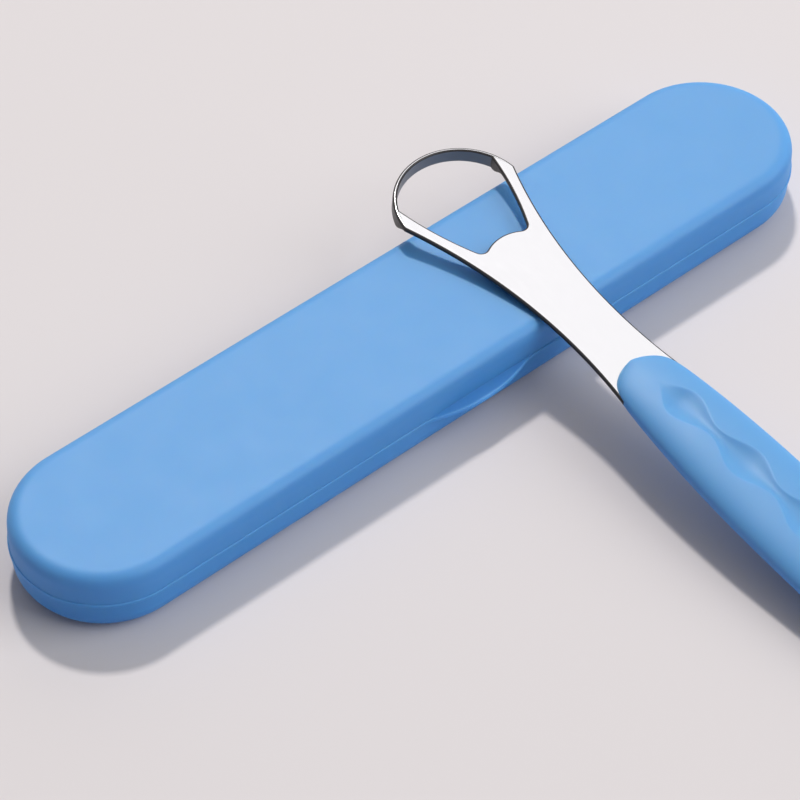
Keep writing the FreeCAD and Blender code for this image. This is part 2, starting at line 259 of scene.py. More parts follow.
def moulded_plastic(name, colour, deep_colour, roughness):
    """Satin, slightly translucent plastic: slow flow marks in the colour, fine grain and faint rub marks."""
    material = bpy.data.materials.new(name)
    material.use_nodes = True
    tree = material.node_tree
    shader = tree.nodes["Principled BSDF"]
    place = add_node(tree, "ShaderNodeTexCoord").outputs["Object"]

    flow = add_node(
        tree, "ShaderNodeTexNoise",
        {"Vector": place, "Scale": FLOW_SCALE, "Detail": 3, "Roughness": 0.55},
    )
    flow_mix = add_node(
        tree, "ShaderNodeMix",
        {"Factor": flow.outputs[0], 6: (*deep_colour, 1), 7: (*colour, 1)}, data_type="RGBA",
    )
    tree.links.new(flow_mix.outputs[2], shader.inputs["Base Color"])

    rubs = add_node(
        tree, "ShaderNodeTexNoise",
        {"Vector": place, "Scale": RUB_SCALE, "Detail": 4, "Roughness": 0.7},
    )
    rub_range = add_node(
        tree, "ShaderNodeMapRange",
        {
            "Value": rubs.outputs[0], 1: RUB_START, 2: RUB_END,
            3: roughness - POLISH_GAIN, 4: roughness + POLISH_LOSS,
        },
    )
    tree.links.new(rub_range.outputs[0], shader.inputs["Roughness"])

    grain = add_node(
        tree, "ShaderNodeTexNoise",
        {"Vector": place, "Scale": GRAIN_SCALE, "Detail": 2, "Roughness": 0.6},
    )
    grain_bump = add_node(
        tree, "ShaderNodeBump",
        {"Height": grain.outputs[0], "Strength": GRAIN_STRENGTH, "Distance": GRAIN_RELIEF},
    )
    tree.links.new(grain_bump.outputs[0], shader.inputs["Normal"])
    shader.inputs["IOR"].default_value = PLASTIC_IOR
    shader.inputs["Specular IOR Level"].default_value = PLASTIC_SHEEN
    shader.inputs["Subsurface Weight"].default_value = TRANSLUCENCY
    shader.inputs["Subsurface Radius"].default_value = COLOUR_REACH
    shader.inputs["Subsurface Scale"].default_value = LIGHT_REACH
    return material


HINGE_SPACING = 84.0 * MM
RIB_SPACING = 80.0 * MM
RIB_THICKNESS = 1.4 * MM
RIB_HEIGHT = 1.0 * MM
RIB_SOFT_EDGE = 0.3 * MM
KNUCKLE_RADIUS = 1.8 * MM
KNUCKLE_CLEARANCE = 0.3 * MM
KNUCKLE_SOFT_EDGE = 0.25 * MM
LID_KNUCKLE = 8.0 * MM
BASE_KNUCKLE = 4.5 * MM
SIDE_GAP = 0.25 * MM
PIN_SEAT_PLAY = 0.02 * MM
SUNK = 0.5 * MM
TURN_STEPS = 48
pin_low, pin_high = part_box("hinge_pin_left")
hinge_y = (pin_low.y + pin_high.y) / 2
hinge_z = (pin_low.z + pin_high.z) / 2
pin_radius = (pin_high.z - pin_low.z) / 2
base_knuckle_start = LID_KNUCKLE / 2 + SIDE_GAP
hinge_half = base_knuckle_start + BASE_KNUCKLE
base_knuckle_spans = [(-hinge_half, BASE_KNUCKLE), (base_knuckle_start, BASE_KNUCKLE)]


def hinge_round(radius, start=0, end=360, steps=TURN_STEPS):
    """Points of a round about the hinge's axis, as (y, z); a full turn doesn't repeat its first point."""
    points = arc(hinge_y, hinge_z, radius, start, end, steps)
    return points[:-1] if end - start == 360 else points


CASE_BLUE = (0.07, 0.297, 0.618)
CASE_DEEP_BLUE = (0.066, 0.288, 0.603)
CASE_ROUGHNESS = 0.56
case_plastic = moulded_plastic("case_plastic", CASE_BLUE, CASE_DEEP_BLUE, CASE_ROUGHNESS)
joined_pair = moulded_pair("moulded_on_pair", "UNION")
cut_pair = moulded_pair("cut_out_pair", "DIFFERENCE")

base_wall = outline_half - TRAY_INSET
rib_half = outline_half - CASE_WALL + SUNK / 4
rib_top = CASE_FLOOR + RIB_HEIGHT
rib_foot = CASE_FLOOR - SUNK
rib = prism(
    "rib_tool",
    [(-rib_half, rib_foot), (rib_half, rib_foot), (rib_half, rib_top), (-rib_half, rib_top)],
    [(-RIB_THICKNESS / 2, RIB_THICKNESS)], RIB_SOFT_EDGE,
)
base_bracket = hinge_round(KNUCKLE_RADIUS, -90, 180) + [
    (base_wall - SUNK, hinge_z),
    (base_wall - SUNK, hinge_z - KNUCKLE_RADIUS),
]
base_knuckles = prism("base_knuckle_tool", base_bracket, base_knuckle_spans, KNUCKLE_SOFT_EDGE)
base_relief = prism(
    "base_relief_tool", hinge_round(KNUCKLE_RADIUS + KNUCKLE_CLEARANCE),
    [(-base_knuckle_start, 2 * base_knuckle_start)], 0,
)
base_bore = prism(
    "base_bore_tool", hinge_round(pin_radius + PIN_SEAT_PLAY), [(-2 * hinge_half, 4 * hinge_half)], 0,
)
base_tray = swept_shell("base_tray", base_section)
mould(base_tray, case_plastic, [
    (cut_pair, base_relief, HINGE_SPACING),
    (joined_pair, base_knuckles, HINGE_SPACING),
    (cut_pair, base_bore, HINGE_SPACING),
    (joined_pair, rib, RIB_SPACING),
])
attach(base_tray, "base")
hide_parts("case_base")


# Hinge pins: two short lengths of drawn stainless wire, pressed through the base's knuckles and turning
# freely in the lid's. Only their cut ends show.
PIN_STEEL = (0.62, 0.62, 0.63)
PIN_ROUGHNESS = 0.28
PIN_GRAIN = (200, 4000, 4000)
DRAWN_START = 0.3
DRAWN_END = 0.7
DRAWN_STRENGTH = 0.15
DRAWN_RELIEF = 0.004 * MM


def drawn_steel(name, colour, roughness, grain_scale, metal=1.0):
    """Stainless steel with a fine grain along one axis; a lower metal share dulls it, as on a cut edge."""
    material = bpy.data.materials.new(name)
    material.use_nodes = True
    tree = material.node_tree
    shader = tree.nodes["Principled BSDF"]
    shader.inputs["Base Color"].default_value = (*colour, 1)
    shader.inputs["Metallic"].default_value = metal
    place = add_node(tree, "ShaderNodeTexCoord").outputs["Object"]
    along = add_node(tree, "ShaderNodeMapping", {"Vector": place, "Scale": grain_scale})
    grain = add_node(tree, "ShaderNodeTexNoise", {"Vector": along.outputs[0], "Scale": 1, "Detail": 4})
    polish = add_node(
        tree, "ShaderNodeMapRange",
        {
            "Value": grain.outputs[0], 1: DRAWN_START, 2: DRAWN_END,
            3: roughness - POLISH_GAIN, 4: roughness + POLISH_LOSS,
        },
    )
    tree.links.new(polish.outputs[0], shader.inputs["Roughness"])
    bump = add_node(
        tree, "ShaderNodeBump",
        {"Height": grain.outputs[0], "Strength": DRAWN_STRENGTH, "Distance": DRAWN_RELIEF},
    )
    tree.links.new(bump.outputs[0], shader.inputs["Normal"])
    return material


pin_steel = drawn_steel("pin_steel", PIN_STEEL, PIN_ROUGHNESS, PIN_GRAIN)
for node in ("hinge_pin_left", "hinge_pin_right"):
    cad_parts[node].data.materials.clear()
    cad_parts[node].data.materials.append(pin_steel)


# Upper half of the case: a round-ended lid with softly rounded edges, moulded in the same plastic. Its rim
# has a fine bead that swells into a crescent thumb lip at the front, and a rebate inside takes the base's
# tongue. The middle knuckles of the hinge are moulded on its back wall.
lid_low, lid_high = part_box("case_lid")
LID_ROUND = 2.4 * MM
EDGE_REACH = 3.0 * MM
EDGE_FULLNESS = 2.5
LID_LOW = 7.02 * MM
CASE_ROOF = 1.6 * MM
BEAD_REACH = 0.22 * MM
BEAD_HEIGHT = 0.8 * MM
BEAD_ROUND = 0.2 * MM
LIP_REACH = 2.6 * MM
LIP_THICKNESS = 0.9 * MM
LIP_ROUND = 0.4 * MM
LIP_FILLET = 0.05 * MM
LIP_HALF = 11.3 * MM
LIP_BLEND = 0.12
FRONT_SPREAD = 0.5
REBATE_INSET = 0.9 * MM
REBATE_TOP = 8.6 * MM
LID_BRACKET_TURN = 60
PIN_RUNNING_PLAY = 0.06 * MM


def lip_share(x, facing):
    """How far the front rim has swollen from plain bead, 0, to full thumb lip, 1."""
    if abs(math.cos(facing)) > FRONT_SPREAD or math.sin(facing) > 0:
        return 0
    bow = 1 - (x / LIP_HALF) ** 2
    return (bow + math.hypot(bow, LIP_BLEND)) / (1 + math.hypot(1, LIP_BLEND))


def soft_corner(radius, steps):
    """Points of the lid's outer edge from its roof to its wall: a round that eases into both."""
    points = []
    for step in range(steps + 1):
        turn = math.pi / 2 * step / steps
        inset = radius * (1 - math.sin(turn) ** (2 / EDGE_FULLNESS))
        drop = radius * (1 - math.cos(turn) ** (2 / EDGE_FULLNESS))
        points.append((inset, lid_high.z - drop))
    return points


def lid_section(x, facing):
    """Wall of the lid: outside from the roof down to the rim, round the bead or lip, up to the ceiling."""
    share = lip_share(x, facing)
    reach = BEAD_REACH + (LIP_REACH - BEAD_REACH) * share
    ledge = LID_LOW + BEAD_HEIGHT + (LIP_THICKNESS - BEAD_HEIGHT) * share
    edge = BEAD_ROUND + (LIP_ROUND - BEAD_ROUND) * share
    fillet = min(LIP_FILLET, reach - edge)
    ceiling = lid_high.z - CASE_ROOF
    vault = LID_ROUND - CASE_WALL
    return (
        soft_corner(EDGE_REACH, 3 * ROUND_STEPS)
        + arc(-fillet, ledge + fillet, fillet, 0, -90, 2 * EDGE_STEPS)
        + arc(edge - reach, ledge - edge, edge, 90, 180, EDGE_STEPS)
        + arc(BEAD_ROUND - reach, LID_LOW + BEAD_ROUND, BEAD_ROUND, 180, 270, EDGE_STEPS)
        + [(REBATE_INSET, LID_LOW), (REBATE_INSET, REBATE_TOP), (CASE_WALL, REBATE_TOP)]
        + arc(CASE_WALL + vault, ceiling - vault, vault, 180, 90, 2 * ROUND_STEPS)
    )


lid_shell = swept_shell("lid_shell", lid_section)
lid_bracket = hinge_round(KNUCKLE_RADIUS, -180, LID_BRACKET_TURN) + [
    (outline_half - REBATE_INSET / 2, hinge_z + 2 * KNUCKLE_RADIUS),
    (outline_half - REBATE_INSET / 2, LID_LOW),
    (outline_half, LID_LOW),
]
lid_knuckles = prism("lid_knuckle_tool", lid_bracket, [(-LID_KNUCKLE / 2, LID_KNUCKLE)], KNUCKLE_SOFT_EDGE)
lid_relief = prism(
    "lid_relief_tool", hinge_round(KNUCKLE_RADIUS + KNUCKLE_CLEARANCE),
    [(start - SIDE_GAP, length + 2 * SIDE_GAP) for start, length in base_knuckle_spans], 0,
)
lid_bore = prism(
    "lid_bore_tool", hinge_round(pin_radius + PIN_RUNNING_PLAY), [(-hinge_half, 2 * hinge_half)], 0,
)
mould(lid_shell, case_plastic, [
    (cut_pair, lid_relief, HINGE_SPACING),
    (joined_pair, lid_knuckles, HINGE_SPACING),
    (cut_pair, lid_bore, HINGE_SPACING),
])
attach(lid_shell, "lid")
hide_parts("case_lid")


# Scraper blade: one stamping of polished stainless sheet. A long neck forks into two arms, whose ends are
# turned on edge to make the upright loop that scrapes. It lies with its neck on the lid's front edge.
SHEET = 1.0 * MM
LOOP_RADIUS = 12.9 * MM
RIM_THICKNESS = 0.85 * MM
RIM_DEPTH = 3.0 * MM
RIM_RAMP = 3.5 * MM
ARM_REACH = 5.2 * MM
ARM_FOOT = -11.0 * MM
OPENING_BASE = 10.25 * MM
OPENING_HALF = 5.1 * MM
BUMP_RADIUS = 8.0 * MM
OPENING_CORNER = 1.4 * MM
SIDE_BULGE = 0.65 * MM
NECK_HALF = 5.82 * MM
NECK_SETBACK = 36.35 * MM
NECK_SIDE_RADIUS = 104.0 * MM
SHOULDER = -51.45 * MM
TANG_HALF = 4.5 * MM
TANG_END = -99.45 * MM
STAMPED_EDGE = 0.36 * MM
STAMPED_STEPS = 5
ARM_STEPS = 30
LOOP_STEPS = 40
CORNER_STEPS = 8
NECK_STEPS = 40
neck_centre = Vector((NECK_HALF + NECK_SIDE_RADIUS, -NECK_SETBACK))


def circles_meet(first, first_radius, second, second_radius, side):
    """One of two points where two circles cross: left of the line between centres if side is 1."""
    line = second - first
    along = (first_radius ** 2 - second_radius ** 2 + line.length_squared) / (2 * line.length)
    aside = side * math.sqrt(first_radius ** 2 - along ** 2)
    forward = line.normalized()
    return first + along * forward + aside * Vector((-forward.y, forward.x))


def turn_points(centre, radius, start, end, steps):
    """Points of an arc about a centre, from one point's direction to another's, the short way round."""
    first = math.atan2(start.y - centre.y, start.x - centre.x)
    turn = math.atan2(end.y - centre.y, end.x - centre.x) - first
    turn = (turn + math.pi) % (2 * math.pi) - math.pi
    points = []
    for step in range(steps + 1):
        angle = first + turn * step / steps
        points.append(centre + radius * Vector((math.cos(angle), math.sin(angle))))
    return points


def circle_through(first, middle, last):
    """Centre of the circle through three points."""
    a = middle - first
    b = last - first
    cross = 2 * (a.x * b.y - a.y * b.x)
    x = (b.y * a.length_squared - a.y * b.length_squared) / cross
    y = (a.x * b.length_squared - b.x * a.length_squared) / cross
    return first + Vector((x, y))


loop_centre = Vector((0, 0))
loop_tip = Vector((0, LOOP_RADIUS))
loop_corner = circles_meet(loop_centre, LOOP_RADIUS, neck_centre, NECK_SIDE_RADIUS, 1)
inner_radius = LOOP_RADIUS - RIM_THICKNESS
arm_end = Vector((math.sqrt(inner_radius ** 2 - ARM_REACH ** 2), ARM_REACH))
bump_centre = Vector((0, -OPENING_BASE - BUMP_RADIUS))
bump_end = Vector((OPENING_HALF, bump_centre.y + math.sqrt(BUMP_RADIUS ** 2 - OPENING_HALF ** 2)))
arm_chord = arm_end - bump_end
arm_middle = (arm_end + bump_end) / 2 + SIDE_BULGE * Vector((arm_chord.y, -arm_chord.x)).normalized()
arm_centre = circle_through(bump_end, arm_middle, arm_end)
arm_radius = (arm_end - arm_centre).length
corner_centre = circles_meet(
    bump_centre, BUMP_RADIUS + OPENING_CORNER, arm_centre, arm_radius - OPENING_CORNER, -1,
)
corner_low = bump_centre + (corner_centre - bump_centre).normalized() * BUMP_RADIUS
corner_high = arm_centre + (corner_centre - arm_centre).normalized() * arm_radius


def neck_side(y):
    """Point on the blade's swept side at a distance along it."""
    return Vector((neck_centre.x - math.sqrt(NECK_SIDE_RADIUS ** 2 - (y - neck_centre.y) ** 2), y))


def mirrored(points):
    """The same points on the blade's other side, in the opposite order."""
    return [Vector((-point.x, point.y)) for point in reversed(points)]


def set_in(outline, distance):
    """A closed outline moved to its left by a distance, with mitred corners."""
    moved = []
    for before, point, after in zip(outline[-1:] + outline[:-1], outline, outline[1:] + outline[:1]):
        heading = (point - before).normalized() + (after - point).normalized()
        moved.append(point + Vector((-heading.y, heading.x)) * (2 * distance / heading.length_squared))
    return moved


def rim_depth(y):
    """How deep the metal stands: the sheet's thickness, ramped to the loop's full depth past the arms."""
    share = min(max((y - loop_corner.y) / RIM_RAMP, 0), 1)
    return SHEET + (RIM_DEPTH - SHEET) * share * share * (3 - 2 * share)


def blade_mesh():
    """The flat stamping, with the loop's centre at the origin, its tip towards +Y and its top at z = 0."""
    arm_ys = [ARM_FOOT + (loop_corner.y - ARM_FOOT) * step / ARM_STEPS for step in range(ARM_STEPS)]
    outer = [neck_side(y) for y in arm_ys]
    outer += turn_points(loop_centre, LOOP_RADIUS, loop_corner, loop_tip, LOOP_STEPS)
    inner = turn_points(arm_centre, arm_radius, corner_high, arm_end, ARM_STEPS)[:-1]
    inner += turn_points(loop_centre, inner_radius, arm_end, loop_tip, LOOP_STEPS)
    outer += mirrored(outer)[1:]
    inner += mirrored(inner)[1:]

    neck_ys = [SHOULDER + (ARM_FOOT - SHOULDER) * step / NECK_STEPS for step in range(NECK_STEPS)]
    neck_right = [Vector((TANG_HALF, TANG_END)), Vector((TANG_HALF, SHOULDER))]
    neck_right += [neck_side(y) for y in neck_ys]
    neck = mirrored(neck_right) + neck_right
    base_right = turn_points(bump_centre, BUMP_RADIUS, Vector((0, -OPENING_BASE)), corner_low, CORNER_STEPS)
    base_right += turn_points(corner_centre, OPENING_CORNER, corner_low, corner_high, CORNER_STEPS)[1:-1]
    base = mirrored(base_right)[:-1] + base_right

    bm = bmesh.new()

    def columns(loop, side):
        """Down the rounded edge of each point of an outline, from the top face to the underside."""
        turns = [math.pi / 2 * step / STAMPED_STEPS for step in range(STAMPED_STEPS + 1)]
        outlines = [set_in(loop, side * STAMPED_EDGE * (1 - math.cos(turn))) for turn in turns]
        heights = [STAMPED_EDGE * (math.sin(turn) - 1) for turn in turns]
        made = []
        for place, point in enumerate(loop):
            depth = rim_depth(point.y)
            top = [(*outline[place], height) for outline, height in zip(outlines, heights)]
            under = [(x, y, -depth - height) for x, y, height in top]
            made.append([bm.verts.new(spot) for spot in top[::-1] + under])
        return made

    rim = columns(outer + neck, 1)
    opening = columns(inner + base, -1)
    outer, neck = rim[:len(outer)], rim[len(outer):]
    inner, base = opening[:len(inner)], opening[len(inner):]
    for level in (0, -1):
        for place in range(len(outer) - 1):
            corners = (outer[place], outer[place + 1], inner[place + 1], inner[place])
            bm.faces.new([column[level] for column in corners])
        around = [outer[-1]] + neck + [outer[0], inner[0]] + base[::-1] + [inner[-1]]
        bm.faces.new([column[level] for column in around])
    for loop in (outer + neck, inner + base):
        for this, following in zip(loop, loop[1:] + loop[:1]):
            for row in range(len(this) - 1):
                bm.faces.new((this[row], following[row], following[row + 1], this[row + 1]))
    bmesh.ops.recalc_face_normals(bm, faces=bm.faces)
    return bm


HANDLE_SETBACK = 45.45 * MM
HANDLE_LENGTH = 90.0 * MM
HANDLE_DEPTH = 6.4 * MM
REST_SETBACK = 27.2 * MM
REST_CLEARANCE = 0.25 * MM
SCRAPER_X = 21.2 * MM
SCRAPER_HEADING = math.radians(1.17)


def lean():
    """Lays the flat scraper with its neck on the lid's front edge and its tail on the table."""
    edge_y = LID_ROUND - outline_half
    edge_z = lid_high.z - LID_ROUND
    tail_radius = HANDLE_DEPTH / 2
    stand_off = SHEET + LID_ROUND + REST_CLEARANCE
    rise = stand_off - SHEET / 2
    run = HANDLE_SETBACK + HANDLE_LENGTH - tail_radius - REST_SETBACK
    slope = math.acos((tail_radius - edge_z) / math.hypot(rise, run)) - math.atan2(run, rise)
    rest = Vector((SCRAPER_X, edge_y - stand_off * math.sin(slope), edge_z + stand_off * math.cos(slope)))
    turned = Matrix.Rotation(-SCRAPER_HEADING, 4, "Z") @ Matrix.Rotation(slope, 4, "X")
    return Matrix.Translation(rest) @ turned @ Matrix.Translation((0, REST_SETBACK, 0))


BLADE_STEEL = (0.82, 0.82, 0.83)
BLADE_ROUGHNESS = 0.075
BLADE_GRAIN = (3500, 60, 3500)
# The sheet's cut edges and the rounded edges beside them: a near-black colour that is partly the dull cut
# edge and partly painted dark reflection of the room these edges would mirror.
SHEARED_STEEL_PAINTED_DARK = (0.024, 0.021, 0.021)
SHEARED_ROUGHNESS = 0.36
SHEARED_METAL = 0.6
# The loop's inner face: a dull, barely metallic grey, a painted grey reflection that stands in for what this
# polished face mirrors.
LOOP_FACE_PAINTED_GREY = (0.24, 0.225, 0.22)
LOOP_FACE_ROUGHNESS = 0.42
LOOP_FACE_METAL = 0.2
EDGE_GRAIN = (1500, 1500, 120)
PAINTED_DARK_EDGE_SLOT = 1
LOOP_FACE_PAINTED_GREY_SLOT = 2
FLAT_SLOPE = 0.99
INWARD_SLOPE = 0.93
blade = new_piece("blade_stamping", blade_mesh())
for finish in (
    drawn_steel("blade_steel", BLADE_STEEL, BLADE_ROUGHNESS, BLADE_GRAIN),
    drawn_steel("sheared_steel", SHEARED_STEEL_PAINTED_DARK, SHEARED_ROUGHNESS, EDGE_GRAIN, SHEARED_METAL),
    drawn_steel("ground_steel", LOOP_FACE_PAINTED_GREY, LOOP_FACE_ROUGHNESS, EDGE_GRAIN, LOOP_FACE_METAL),
):
    blade.data.materials.append(finish)
# Every face off the flat, the rounded top edges included, takes the painted dark edge colour, and the loop's
# inner face takes the painted grey reflection.
for face in blade.data.polygons:
    if abs(face.normal.z) < FLAT_SLOPE:
        inward = -face.normal.xy.dot(face.center.xy.normalized())
        in_loop = face.center.y > arm_end.y and inward > INWARD_SLOPE
        face.material_index = LOOP_FACE_PAINTED_GREY_SLOT if in_loop else PAINTED_DARK_EDGE_SLOT
smooth(blade)
blade.data.transform(lean())
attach(blade, "scraper")
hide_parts("scraper_blade")


# Handle: a slim blade-shaped grip, injection moulded in blue plastic round the blade's tang. A sunken
# ribbon of five thumb scoops runs down its top, each flowing into the next through a narrow waist.
HANDLE_WIDTH = 18.4 * MM
BELLY_SETBACK = 41.4 * MM
FRONT_SIDE_RADIUS = 282.0 * MM
REAR_SIDE_RADIUS = 760.0 * MM
NOSE_RADIUS = 6.6 * MM
NOSE_DEPTH = 1.8 * MM
NOSE_RISE = 30.0 * MM
TAIL_RADIUS = 8.0 * MM
CORNER_SHARPNESS = 7.5
SCOOP_PITCH = 15.85 * MM
SCOOP_SETBACK = 13.5 * MM
SCOOP_COUNT = 5
SCOOP_HALF = 3.5 * MM
WAIST_HALF = 1.1 * MM
SCOOP_DEPTH = 0.9 * MM
DISH_SOFTNESS = 1.3
HANDLE_FULLNESS = 0.8
ALONG_STEPS = 320
AROUND_STEPS = 200
TOP_CROWDING = 0.6
LEAST_SETBACK = 0.00001 * MM
LEAST_RIBBON = 0.001 * MM
TIP_WELD = 0.06 * MM


def handle_tree():
    """Tree that bends a grid into the handle: sections closer at the ends, and scoops sunk in the top."""
    tree = bpy.data.node_groups.new("scooped_handle", "GeometryNodeTree")
    sizes = (
        "Length", "Width", "Depth", "Belly Setback", "Front Side Radius", "Rear Side Radius", "Nose Radius",
        "Nose Depth", "Nose Rise", "Tail Radius", "Corner Sharpness", "Scoop Pitch", "Scoop Setback",
        "Scoop Count", "Scoop Half", "Waist Half", "Scoop Depth", "Setback", "Sheet",
    )
    tree_input(tree, "Blank", "NodeSocketGeometry")
    for size in sizes:
        tree_input(tree, size, "NodeSocketFloat")
    tree_input(tree, "Along", "NodeSocketInt")
    tree_input(tree, "Around", "NodeSocketInt")
    tree_input(tree, "Plastic", "NodeSocketMaterial")
    tree.interface.new_socket(name="Handle", in_out="OUTPUT", socket_type="NodeSocketGeometry")
    given = add_node(tree, "NodeGroupInput").outputs

    def maths(operation, *values):
        """One step of arithmetic on sockets or numbers."""
        return add_node(tree, "ShaderNodeMath", dict(enumerate(values)), operation=operation).outputs[0]

    def plus(a, b):
        return maths("ADD", a, b)

    def minus(a, b):
        return maths("SUBTRACT", a, b)

    def times(a, b):
        return maths("MULTIPLY", a, b)

    def over(a, b):
        return maths("DIVIDE", a, b)

    def square(a):
        return maths("MULTIPLY", a, a)

    def root(a):
        return maths("SQRT", a)

    def round_end(radius, distance):
        """Half the width of a round end, at a distance from its tip."""
        return root(minus(square(radius), square(minus(radius, maths("MINIMUM", distance, radius)))))

    def eased(value, width):
        """Rises smoothly from 0 to 1 while the value goes from 0 to a width."""
        ramp = add_node(
            tree, "ShaderNodeMapRange", {"Value": value, 1: 0.0, 2: width, 3: 0.0, 4: 1.0},
            interpolation_type="SMOOTHERSTEP",
        )
        return ramp.outputs[0]

    grid = add_node(
        tree, "GeometryNodeMeshGrid",
        {"Size X": 1.0, "Size Y": 1.0, "Vertices X": given["Around"], "Vertices Y": given["Along"]},
    )
    flat_place = add_node(tree, "GeometryNodeInputPosition").outputs[0]
    place = add_node(tree, "ShaderNodeSeparateXYZ", {0: flat_place})
    round_share = times(place.outputs["X"], 2 * math.pi)
    crowded = minus(round_share, times(maths("SINE", round_share), TOP_CROWDING))
    turn = plus(crowded, math.pi / 2)
    along = times(plus(place.outputs["Y"], 0.5), math.pi)
    length = given["Length"]
    setback = times(length, over(minus(1.0, maths("COSINE", along)), 2.0))
    from_nose = maths("MAXIMUM", setback, LEAST_SETBACK)
    from_tail = maths("MAXIMUM", minus(length, setback), LEAST_SETBACK)

    ahead = maths("LESS_THAN", setback, given["Belly Setback"])
    side_radius = plus(
        times(ahead, given["Front Side Radius"]), times(minus(1.0, ahead), given["Rear Side Radius"]),
    )
    fall = over(square(minus(setback, given["Belly Setback"])), times(side_radius, 2.0))
    side = minus(over(given["Width"], 2.0), fall)
    nose = root(times(times(given["Nose Radius"], 2.0), from_nose))
    tail = root(times(times(given["Tail Radius"], 2.0), from_tail))
    sharp = given["Corner Sharpness"]
    nose_pinch = maths("POWER", over(side, nose), sharp)
    tail_pinch = maths("POWER", over(side, tail), sharp)
    pinch = plus(plus(1.0, nose_pinch), tail_pinch)
    half_width = over(side, maths("POWER", pinch, over(1.0, sharp)))

    full = over(given["Depth"], 2.0)
    thin = over(given["Nose Depth"], 2.0)
    rising = over(round_end(given["Nose Rise"], from_nose), given["Nose Rise"])
    half_depth = maths(
        "MINIMUM", plus(thin, times(minus(full, thin), rising)), round_end(full, from_tail),
    )

    across = times(half_width, maths("COSINE", turn))
    rounded = maths("SINE", turn)
    upward = times(maths("SIGN", rounded), maths("POWER", maths("ABSOLUTE", rounded), HANDLE_FULLNESS))

    phase = over(minus(setback, given["Scoop Setback"]), given["Scoop Pitch"])
    wave = maths("COSINE", times(phase, 2 * math.pi))
    middle = over(plus(given["Scoop Half"], given["Waist Half"]), 2.0)
    swing = over(minus(given["Scoop Half"], given["Waist Half"]), 2.0)
    ribbon = plus(middle, times(swing, wave))
    first_end = eased(plus(phase, 0.5), 0.5)
    last_end = eased(minus(minus(given["Scoop Count"], 0.5), phase), 0.5)
    fading = maths("MINIMUM", first_end, last_end)
    ribbon = times(ribbon, root(fading))
    reach = maths("MAXIMUM", ribbon, LEAST_RIBBON)
    share = maths("MINIMUM", over(maths("ABSOLUTE", across), reach), 1.0)
    dish = maths("POWER", minus(1.0, square(share)), DISH_SOFTNESS)
    sunk = times(times(given["Scoop Depth"], times(fading, over(ribbon, given["Scoop Half"]))), dish)
    top_only = maths("GREATER_THAN", upward, 0.0)

    height = minus(
        minus(times(half_depth, upward), over(given["Sheet"], 2.0)), times(sunk, top_only),
    )
    back = times(plus(given["Setback"], setback), -1.0)
    spot = add_node(tree, "ShaderNodeCombineXYZ", {"X": across, "Y": back, "Z": height})
    bent = add_node(
        tree, "GeometryNodeSetPosition",
        {"Geometry": grid.outputs["Mesh"], "Position": spot.outputs[0]},
    )
    welded = add_node(
        tree, "GeometryNodeMergeByDistance", {"Geometry": bent.outputs[0], "Distance": TIP_WELD},
    )
    whole = add_node(tree, "GeometryNodeRealizeInstances", {"Geometry": welded.outputs[0]})
    coated = add_node(
        tree, "GeometryNodeSetMaterial", {"Geometry": whole.outputs[0], "Material": given["Plastic"]},
    )
    add_node(tree, "NodeGroupOutput", {"Handle": coated.outputs[0]})
    return tree


HANDLE_BLUE = (0.085, 0.308, 0.605)
HANDLE_DEEP_BLUE = (0.08, 0.299, 0.59)
HANDLE_ROUGHNESS = 0.52
handle_plastic = moulded_plastic("handle_plastic", HANDLE_BLUE, HANDLE_DEEP_BLUE, HANDLE_ROUGHNESS)
handle = new_piece("scooped_handle", bmesh.new())
shaping = handle.modifiers.new("scooped handle", "NODES")
shaping.node_group = handle_tree()
handle_sizes = {
    "Length": HANDLE_LENGTH, "Width": HANDLE_WIDTH, "Depth": HANDLE_DEPTH, "Belly Setback": BELLY_SETBACK,
    "Front Side Radius": FRONT_SIDE_RADIUS, "Rear Side Radius": REAR_SIDE_RADIUS,
    "Nose Radius": NOSE_RADIUS, "Nose Depth": NOSE_DEPTH, "Nose Rise": NOSE_RISE,
    "Tail Radius": TAIL_RADIUS, "Corner Sharpness": CORNER_SHARPNESS, "Scoop Pitch": SCOOP_PITCH,
    "Scoop Setback": SCOOP_SETBACK, "Scoop Count": SCOOP_COUNT, "Scoop Half": SCOOP_HALF,
    "Waist Half": WAIST_HALF, "Scoop Depth": SCOOP_DEPTH,
    "Setback": HANDLE_SETBACK, "Sheet": SHEET,
}
for size, value in handle_sizes.items():
    set_input(shaping, size, float(value))
set_input(shaping, "Along", ALONG_STEPS)
set_input(shaping, "Around", AROUND_STEPS)
set_input(shaping, "Plastic", handle_plastic)
settle(handle)
handle_skin = bmesh.new()
handle_skin.from_mesh(handle.data)
bmesh.ops.recalc_face_normals(handle_skin, faces=handle_skin.faces)
handle_skin.to_mesh(handle.data)
handle_skin.free()
handle.data.shade_smooth()
handle.data.transform(lean())
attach(handle, "scraper")
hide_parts("scraper_handle")


# Studio: a plain pale table top in a pale room, a hard lamp behind the case, a wide soft box at its front
# right, and a camera that looks down over the case's front left. Light bouncing off the table meets a
# painted bounce colour, bluer and darker than the table itself, that tints the case's walls and shadows
# blue.
FLOOR_SIZE = 3.0
FLOOR_COLOUR = (0.662, 0.624, 0.62)
# Painted bounce light: the colour that diffuse light sees off the table, bluer and darker than the table's
# own.
FLOOR_PAINTED_BOUNCE = (0.46, 0.57, 0.80)
FLOOR_ROUGHNESS = 0.8
FLOOR_SHEEN = 0.2
floor_mesh = bmesh.new()
bmesh.ops.create_grid(floor_mesh, x_segments=1, y_segments=1, size=FLOOR_SIZE / 2)
floor = new_piece("table_top", floor_mesh)
floor_finish = bpy.data.materials.new("table_top")
floor_finish.use_nodes = True
floor_tree = floor_finish.node_tree
floor_shader = floor_tree.nodes["Principled BSDF"]
